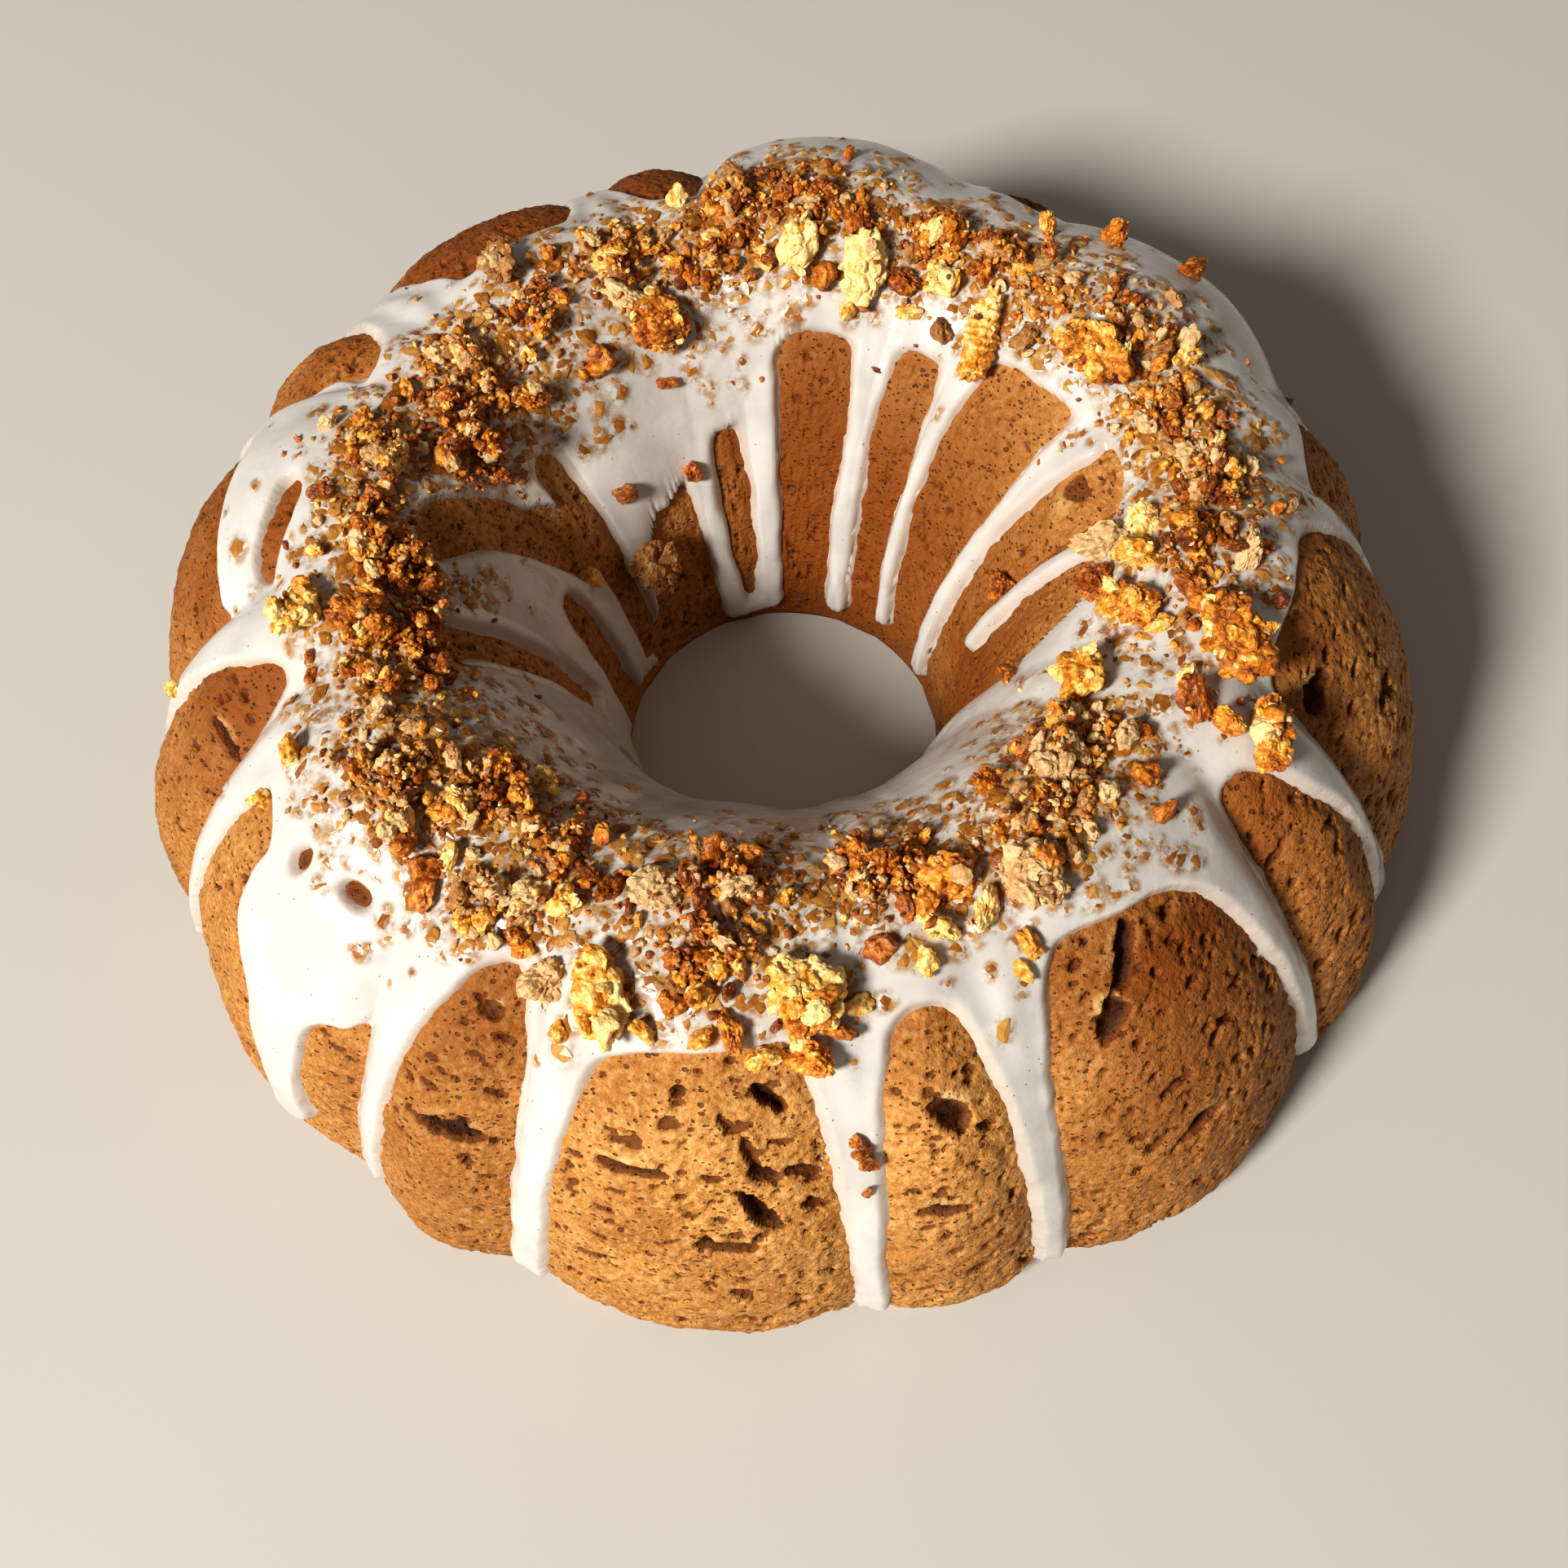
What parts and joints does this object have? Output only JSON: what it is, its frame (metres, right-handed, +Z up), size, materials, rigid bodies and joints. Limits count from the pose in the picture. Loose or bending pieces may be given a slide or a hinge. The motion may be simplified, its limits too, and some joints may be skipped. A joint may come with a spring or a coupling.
{
  "type": "glazed bundt cake",
  "caption": "Uncut fluted ring cake, rounded wide and narrow lobes, white glaze running down its grooves, topped with lumps and crumbs of honeycomb, toffee and oats.",
  "frame": {"origin": "centre of the base, on the surface that the cake stands on", "axes": "+Z up along the axis of the ring, -Y towards the front lobe, +X to the right seen from the front"},
  "size_m": [0.2472, 0.2477, 0.0853],
  "materials": {
    "crust": "baked golden brown crust with open pores",
    "glaze": "smooth wet white sugar glaze",
    "honeycomb": "crisp golden honeycomb",
    "toffee": "orange brown sugared toffee",
    "oats": "beige toasted oats"
  },
  "bodies": {
    "root": {"crust": "crust", "glaze": "glaze", "lump_01": "honeycomb", "lump_02": "honeycomb", "lump_03": "oats", "lump_04": "oats", "lump_05": "toffee", "lump_06": "toffee", "lump_07": "honeycomb", "lump_08": "toffee", "lump_09": "toffee", "lump_10": "honeycomb", "lump_11": "toffee", "lump_12": "honeycomb", "lump_13": "honeycomb", "lump_14": "honeycomb", "lump_15": "toffee", "lump_16": "oats", "lump_17": "oats", "lump_18": "toffee", "lump_19": "honeycomb", "lump_20": "honeycomb"}
  },
  "joints": []
}
